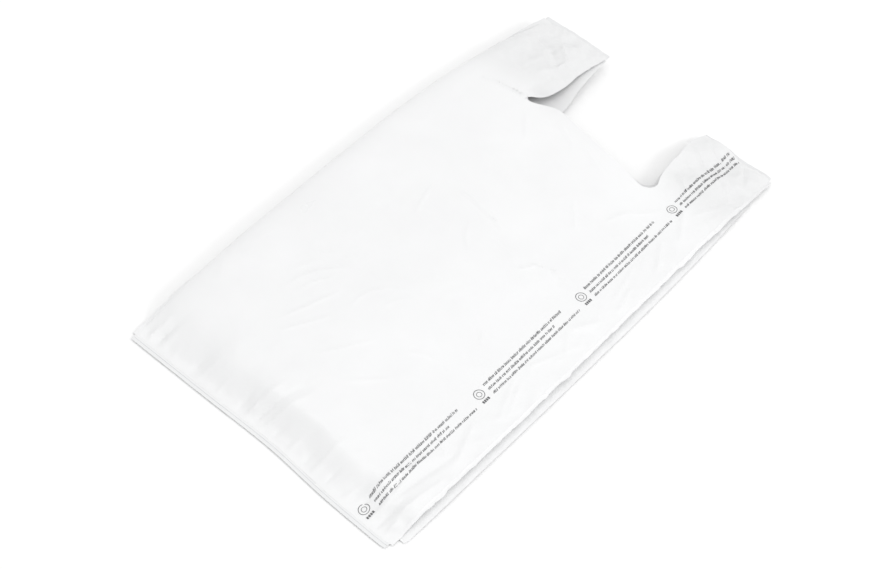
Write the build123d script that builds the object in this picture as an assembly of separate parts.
"""A thin plastic carrier bag with two loop handles, lying on its back panel.

The real bag is one flattened film tube. Both sides are tucked in as gussets, the bottom is welded
across, and a U is cut out of the top, which leaves a handle of four film layers at each side. The
folds and welds divide the film into the flat pieces modelled here, each of them a closed solid.

Millimetres, +Z up. X runs across the bag and Y along it, from the bottom weld to the handles.
The origin is on the underside of the back panel, at the middle of the flat bag's outline.
The bag lies loosely: the mouth stands open by mouth_height, and the side gussets stand half open.
"""

import os
from math import asin, atan2, cos, degrees, radians, sin

from build123d import *

# The flat bag
bag_width = 292.0
bag_length = 546.0
gusset_depth = 82.5
handle_width = 77.0
mouth_depth = 96.0
mouth_corner_radius = 12.0
mouth_bulge = 6.0
lip_root = 5.0

# The film and its welds
film = 0.3
layers = 4
bottom_hem_length = 3.0
bottom_weld_length = 2.5
top_weld_length = 6.0

# How far the film stands open as the bag lies
shoulder_length = 70.0
shoulder_height = 10.0
mouth_height = 14.0

# Clearances between pieces that move apart
hinge_gap = 0.4
crease_gap = 0.4
loose_end_gap = 4.0
ply_slant = 6.0

# The repeated print along the right edge
print_pitch = 144.5
print_start = 11.0
print_edge_gap = 1.0
print_thickness = 0.1
ring_radius = 5.0
ring_line = 1.0
ring_edge_distance = 47.0
label_length = 9.0
label_width = 3.2
label_edge_distance = 38.0
line_edge_distances = (49.0, 43.0, 37.0)
line_lengths = (106.0, 112.0, 124.0)
line_width = 1.4
line_start = 10.0

# Derived sizes and places
weld_thickness = layers * film
bag_foot = -bag_length / 2
hem_end = bag_foot + bottom_hem_length
weld_end = hem_end + bottom_weld_length
shoulder_y = bag_foot + shoulder_length
mouth_y = bag_foot + bag_length - mouth_depth
strap_length = mouth_depth - top_weld_length
edge_x = bag_width / 2
crease_x = edge_x - gusset_depth
handle_inner_x = edge_x - handle_width
strap_rise = degrees(asin((mouth_height - weld_thickness) / 2 / strap_length))

LEFT, RIGHT = -1, 1
SIDE_NAMES = {LEFT: "left", RIGHT: "right"}


def save(shape, name):
    """Write one named piece."""
    export_step(shape, f"parts/{name}.step")
    print(f"{name}: {shape.volume:.1f} mm3")


def film_facets(rows):
    """A film ply folded through rows, each of them the two ends of one line on its underside.

    Two flat triangles join each row to the next, so that the ply has no curved face.
    """
    facets = []
    for (a, b), (next_a, next_b) in zip(rows, rows[1:]):
        for corners in ((a, b, next_b), (a, next_b, next_a)):
            facets.append(extrude(make_face(Polyline(*corners, close=True)), film, dir=(0, 0, 1)))
    return facets[0].fuse(*facets[1:])


def front_height(y):
    """Height of the front panel's upper face at y."""
    if y < shoulder_y:
        share = (y - weld_end) / (shoulder_y - weld_end)
        return weld_thickness + share * (shoulder_height - weld_thickness)
    share = (y - shoulder_y) / (mouth_y - shoulder_y)
    return shoulder_height + share * (mouth_height - shoulder_height)


def front_angle(y):
    """Slope of the front panel at y, in degrees."""
    if y < shoulder_y:
        return degrees(atan2(shoulder_height - weld_thickness, shoulder_y - weld_end))
    return degrees(atan2(mouth_height - shoulder_height, mouth_y - shoulder_y))


def mouth_lip():
    """The shallow convex edge of the mouth between the two handle corners, as a flat sketch.

    It starts a little below the mouth line, so that it runs into its panel.
    """
    half = handle_inner_x - mouth_corner_radius
    edge = ThreePointArc((-half, 0), (0, mouth_bulge), (half, 0))
    edge += Polyline((half, 0), (half, -lip_root), (-half, -lip_root), (-half, 0))
    return make_face(edge)


def back_panel():
    """The back panel, flat on the ground, with its part of the mouth edge."""
    body = Pos(0, (weld_end + mouth_y) / 2, film / 2) * Box(bag_width, mouth_y - weld_end, film)
    return body + Pos(0, mouth_y, 0) * extrude(mouth_lip(), film)


def front_panel():
    """The front panel: it rises from the bottom weld over a shoulder, then climbs to the mouth."""
    first_y = weld_end + hinge_gap
    upper = [(first_y, front_height(first_y)), (shoulder_y, shoulder_height), (mouth_y, mouth_height)]
    lower = [(y, z - film) for y, z in reversed(upper)]
    side = [(-edge_x, y, z) for y, z in upper + lower]
    sheet = extrude(make_face(Polyline(*side, close=True)), bag_width, dir=(1, 0, 0))
    lip = Pos(0, mouth_y, mouth_height) * Rot(X=front_angle(mouth_y)) * mouth_lip()
    return sheet + extrude(lip, film, dir=(0, 0, -1))


def gusset_ply(side, front):
    """One ply of a side gusset, from the panel's outer fold to the gusset's inner crease.

    The crease runs halfway up between the panels, and the two plies end a crease_gap apart there.
    At the bottom weld, where the stack is thinner than that, they lie flat.
    """
    rows = []
    for y in (weld_end + hinge_gap, shoulder_y, mouth_y - hinge_gap):
        top = front_height(y) - 2 * film
        middle = (top + film) / 2
        if front:
            fold_z = top
            crease_z = min(fold_z, middle + crease_gap / 2)
        else:
            fold_z = film
            crease_z = max(fold_z, middle - crease_gap / 2 - film)
        rows.append(((side * edge_x, y, fold_z), (side * crease_x, y, crease_z)))
    return film_facets(rows)


def strap_outline():
    """Half of the handle, flat: the strap with the round corner where it meets the mouth."""
    corner = handle_inner_x - mouth_corner_radius
    start = (corner, 0)
    middle = (
        handle_inner_x - mouth_corner_radius * (1 - sin(radians(45))),
        mouth_corner_radius * (1 - cos(radians(45))),
    )
    end = (handle_inner_x, mouth_corner_radius)
    edge = ThreePointArc(start, middle, end)
    edge += Polyline(end, (handle_inner_x, strap_length), (edge_x, strap_length), (edge_x, 0), start)
    return make_face(edge)


def on_side(shape, side):
    """The right-hand shape as it is, or its mirror image for the left."""
    return shape if side == RIGHT else mirror(shape, Plane.YZ)


def back_strap_place():
    """Where the back strap starts at the mouth line, rising towards its top weld."""
    return Pos(0, mouth_y, 0) * Rot(X=strap_rise)


def front_strap_place():
    """Where the front strap starts at the mouth line, falling towards the top weld."""
    return Pos(0, mouth_y, mouth_height) * Rot(X=-strap_rise)


def cut_to_length(length):
    """A block that holds a strap from just past the mouth line to length along it."""
    depth = length - hinge_gap
    return Pos(0, hinge_gap + depth / 2, 0) * Box(2 * bag_width, depth, 2 * mouth_height)


def back_strap(side):
    """The outer film layer of a handle's back half."""
    flat = extrude(strap_outline(), film) & cut_to_length(strap_length)
    return back_strap_place() * on_side(flat, side)


def front_strap(side):
    """The outer film layer of a handle's front half. Its loose end stops short of the weld."""
    flat = extrude(strap_outline(), -film) & cut_to_length(strap_length - loose_end_gap)
    return front_strap_place() * on_side(flat, side)


def handle_ply(side, front):
    """The gusset film inside a handle: folded back from the outer edge, and opening at its base.

    Its base is cut at a slant, so that the open corner stays clear of the gusset as the strap turns.
    """
    length = strap_length - loose_end_gap if front else strap_length
    spread = (mouth_height - crease_gap) / 2 - 3 * film
    outer_x, inner_x = side * edge_x, side * handle_inner_x
    flat_z = -2 * film if front else film
    open_z = flat_z - spread if front else flat_z + spread
    base = ((outer_x, hinge_gap, flat_z), (inner_x, hinge_gap + ply_slant, open_z))
    end = ((outer_x, length, flat_z), (inner_x, length, flat_z))
    place = front_strap_place() if front else back_strap_place()
    return place * film_facets([base, end])


def top_weld(side):
    """The weld that joins a handle's four layers at its top."""
    middle_x = side * (edge_x - handle_width / 2)
    middle_y = strap_length + top_weld_length / 2
    bar = Box(handle_width, top_weld_length, weld_thickness)
    return back_strap_place() * Pos(middle_x, middle_y, weld_thickness / 2) * bar


def bottom_weld():
    """The weld across the bottom, which joins every layer of the tube."""
    middle_y = (hem_end + weld_end) / 2
    return Pos(0, middle_y, weld_thickness / 2) * Box(bag_width, bottom_weld_length, weld_thickness)


def bottom_hem():
    """The narrow film margin left outside the bottom weld."""
    middle_y = (bag_foot + hem_end) / 2
    return Pos(0, middle_y, film) * Box(bag_width, bottom_hem_length, 2 * film)


def printed_bar(x, start_y, end_y, width):
    """A printed bar on the front panel, bent with it over the shoulder."""
    stops = [start_y, end_y]
    if start_y < shoulder_y < end_y:
        stops.insert(1, shoulder_y)
    bars = []
    for low, high in zip(stops, stops[1:]):
        middle = (low + high) / 2
        place = Pos(x, middle, front_height(middle)) * Rot(X=front_angle(middle))
        bars.append(place * Pos(0, 0, print_thickness / 2) * Box(width, high - low, print_thickness))
    return bars


def printed_ring(y):
    """A plain printed ring on the front panel."""
    ring = Circle(ring_radius) - Circle(ring_radius - ring_line)
    place = Pos(edge_x - ring_edge_distance, y, front_height(y)) * Rot(X=front_angle(y))
    return place * extrude(ring, print_thickness)


def repeat_starts():
    """Where each repeat of the print begins along Y: as many as have room below the mouth."""
    room = mouth_y - bag_foot - print_start - ring_radius
    count = int(room // print_pitch) + 1
    return [bag_foot + print_start + repeat * print_pitch for repeat in range(count)]


def panel_print():
    """Every repeat of the print, as far as it lies on the front panel."""
    marks = []
    label_x = edge_x - label_edge_distance
    for y in repeat_starts():
        marks.append(printed_ring(y))
        marks += printed_bar(label_x, y - label_length / 2, y + label_length / 2, label_width)
        for distance, length in zip(line_edge_distances, line_lengths):
            start_y = y + line_start
            end_y = min(start_y + length, mouth_y - print_edge_gap)
            if end_y > start_y:
                marks += printed_bar(edge_x - distance, start_y, end_y, line_width)
    return Compound(children=marks)


def handle_print():
    """The lines that run on past the mouth, up the right handle's front strap."""
    strap_end = strap_length - loose_end_gap
    marks = []
    for y in repeat_starts():
        for distance, length in zip(line_edge_distances, line_lengths):
            start = max(y + line_start - mouth_y, print_edge_gap)
            end = min(y + line_start + length - mouth_y, strap_end - print_edge_gap)
            if end > start:
                middle = Pos(edge_x - distance, (start + end) / 2, print_thickness / 2)
                bar = Box(line_width, end - start, print_thickness)
                marks.append(front_strap_place() * middle * bar)
    return Compound(children=marks)


def build():
    """Make and write every piece."""
    os.makedirs("parts", exist_ok=True)
    save(back_panel(), "back_panel")
    save(front_panel(), "front_panel")
    save(bottom_weld(), "bottom_weld")
    save(bottom_hem(), "bottom_hem")
    for side, name in SIDE_NAMES.items():
        save(gusset_ply(side, front=False), f"{name}_gusset_back_ply")
        save(gusset_ply(side, front=True), f"{name}_gusset_front_ply")
        save(back_strap(side), f"{name}_handle_back_strap")
        save(front_strap(side), f"{name}_handle_front_strap")
        save(handle_ply(side, front=False), f"{name}_handle_back_ply")
        save(handle_ply(side, front=True), f"{name}_handle_front_ply")
        save(top_weld(side), f"{name}_handle_top_weld")
    save(panel_print(), "panel_print")
    save(handle_print(), "handle_print")
    print(f"straps rise by {strap_rise:.2f} degrees")


build()
